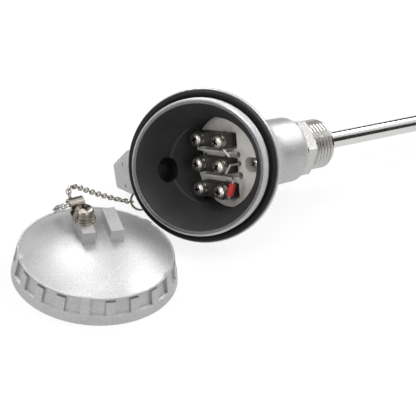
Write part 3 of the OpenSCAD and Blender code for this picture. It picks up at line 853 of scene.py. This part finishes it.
@dataclass(frozen=True)
class Rounding:
    """Small rounded edges on a CAD node, by modifiers that leave its own mesh alone."""

    width: float
    segments: int = 2
    angle: float = 35.0

    def put(self, *nodes: str) -> None:
        """Rounds the edges of CAD nodes.

        Args:
            nodes: the nodes' names.
        """
        for name in nodes:
            node = frame["nodes"][name]
            weld = node.modifiers.new("weld", "WELD")
            weld.merge_threshold = 0.005 * MM
            bevel = node.modifiers.new("bevel", "BEVEL")
            bevel.width = self.width
            bevel.segments = self.segments
            bevel.limit_method = "ANGLE"
            bevel.angle_limit = math.radians(self.angle)
            bevel.harden_normals = True
            bevel.use_clamp_overlap = True
            weighted = node.modifiers.new("weighted", "WEIGHTED_NORMAL")
            weighted.keep_sharp = False
        log.info("edges of %s rounded", ", ".join(nodes))


# ---------------------------------------------------------------- added pieces


@dataclass(frozen=True)
class NippleThread:
    """The process fitting with a helical thread, over the fitting's own hexagon."""

    crest: float = 11.9 * MM
    depth: float = 1.15 * MM
    pitch: float = 2.0 * MM
    length: float = 12.6 * MM
    steps: int = 48
    ring_depth: float = 1.5 * MM
    root_overlap: float = 0.05 * MM
    flank: float = 0.47
    flat: float = 0.18
    run_out: float = 0.4
    near: float = 0.01 * MM
    rim_near: float = 0.05 * MM

    def build(self, material: bpy.types.Material) -> bpy.types.Object:
        """Makes the fitting with its thread cut.

        Args:
            material: its metal.

        Returns:
            The finished object, which stands for the CAD node.
        """
        node = frame["nodes"]["hex_nipple"]
        bm = bmesh.new()
        bm.from_mesh(node.data)
        bm.transform(node.matrix_world)
        bmesh.ops.remove_doubles(bm, verts=bm.verts, dist=0.005 * MM)
        origin = LIE.at(LIE.shoulder)
        self._turn_down(bm, origin)
        self._ridge(bm, origin)
        bmesh.ops.recalc_face_normals(bm, faces=bm.faces)
        piece = add_mesh("nipple_thread", bm, material)
        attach(piece, "head")
        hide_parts("hex_nipple")
        log.info("nipple_thread: %d faces", len(piece.data.polygons))
        return piece

    def _turn_down(self, bm: bmesh.types.BMesh, origin: Vector) -> None:
        """Turns the threaded end down to its core; the hexagon's own points stay.

        Args:
            bm: the fitting's mesh.
            origin: the shoulder's middle.
        """
        for vert in bm.verts:
            along = (vert.co - origin).dot(STEM)
            out = vert.co - origin - STEM * along
            on_rim = abs(along) < self.near and abs(out.length - self.crest) < self.rim_near
            if on_rim or (along > self.near and out.length > self.crest - self.ring_depth):
                vert.co = origin + STEM * along + out.normalized() * (self.crest - self.depth)

    def _ridge(self, bm: bmesh.types.BMesh, origin: Vector) -> None:
        """Winds the thread's ridge round the core.

        Args:
            bm: the mesh that the ridge is added to.
            origin: the shoulder's middle.
        """
        core = self.crest - self.depth - self.root_overlap
        foot = self.pitch * self.flank
        top = foot * self.flat
        start = origin + STEM * (self.pitch * 0.5)
        outline = ((-foot, core), (-top, self.crest), (top, self.crest), (foot, core))
        points = [start + STEM * along + SIDE * out for along, out in outline]
        verts = [bmesh.ops.create_vert(bm, co=co)["vert"][0] for co in points]
        section = bmesh.ops.contextual_create(bm, geom=verts)["faces"]
        count = round((self.length / self.pitch - self.run_out) * self.steps)
        bmesh.ops.spin(
            bm,
            geom=section + [e for f in section for e in f.edges] + verts,
            cent=origin,
            axis=STEM,
            dvec=STEM * (self.pitch / self.steps),
            angle=math.tau * count / self.steps,
            steps=count,
            use_merge=False,
            use_normal_flip=False,
            use_duplicate=False,
        )


@dataclass(frozen=True)
class CapBead:
    """The fine raised bead between the cap's dome and its rim."""

    radius: float = 34.85 * MM
    wire: float = 0.45 * MM
    height: float = 12.72 * MM
    steps: int = 120
    sides: int = 10

    def build(self, material: bpy.types.Material) -> bpy.types.Object:
        """Makes the bead round the cap's axis.

        Args:
            material: the cap's paint.

        Returns:
            The finished object.
        """
        low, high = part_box("cap_casting")
        middle = (Vector(low) + Vector(high)) / 2
        middle.z = low[2] + self.height
        bm = bmesh.new()
        upright = Matrix.Rotation(math.pi / 2, 4, "X")
        place = Matrix.Translation(middle + Vector((self.radius, 0, 0))) @ upright
        ring = bmesh.ops.create_circle(bm, segments=self.sides, radius=self.wire, matrix=place)["verts"]
        edges = list({e for v in ring for e in v.link_edges})
        bmesh.ops.spin(
            bm,
            geom=ring + edges,
            cent=middle,
            axis=(0, 0, 1),
            angle=math.tau,
            steps=self.steps,
            use_merge=True,
        )
        bmesh.ops.remove_doubles(bm, verts=bm.verts, dist=0.01 * MM)
        bmesh.ops.recalc_face_normals(bm, faces=bm.faces)
        piece = add_mesh("cap_bead", bm, material, smooth=True)
        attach(piece, "cap")
        log.info("cap_bead: %d faces", len(piece.data.polygons))
        return piece


def main() -> None:
    """Builds the stage, dresses the CAD nodes and makes the added pieces."""
    Stage(floor_z=CAD_BOX[0].z).build()
    dresser = Dresser(finishes())
    for finish, nodes in OUTFIT.items():
        dresser.dress(finish, nodes)
    Rounding(0.35 * MM).put("cap_casting")
    Rounding(0.25 * MM).put("head_casting", "gland_screw", "terminal_base")
    Rounding(0.12 * MM).put(*TERMINAL_BARS, "clip_strap")
    NippleThread().build(dresser.stock[Finish.TURNED])
    CapBead().build(dresser.stock[Finish.CAST])


if __name__ == "__main__":
    main()
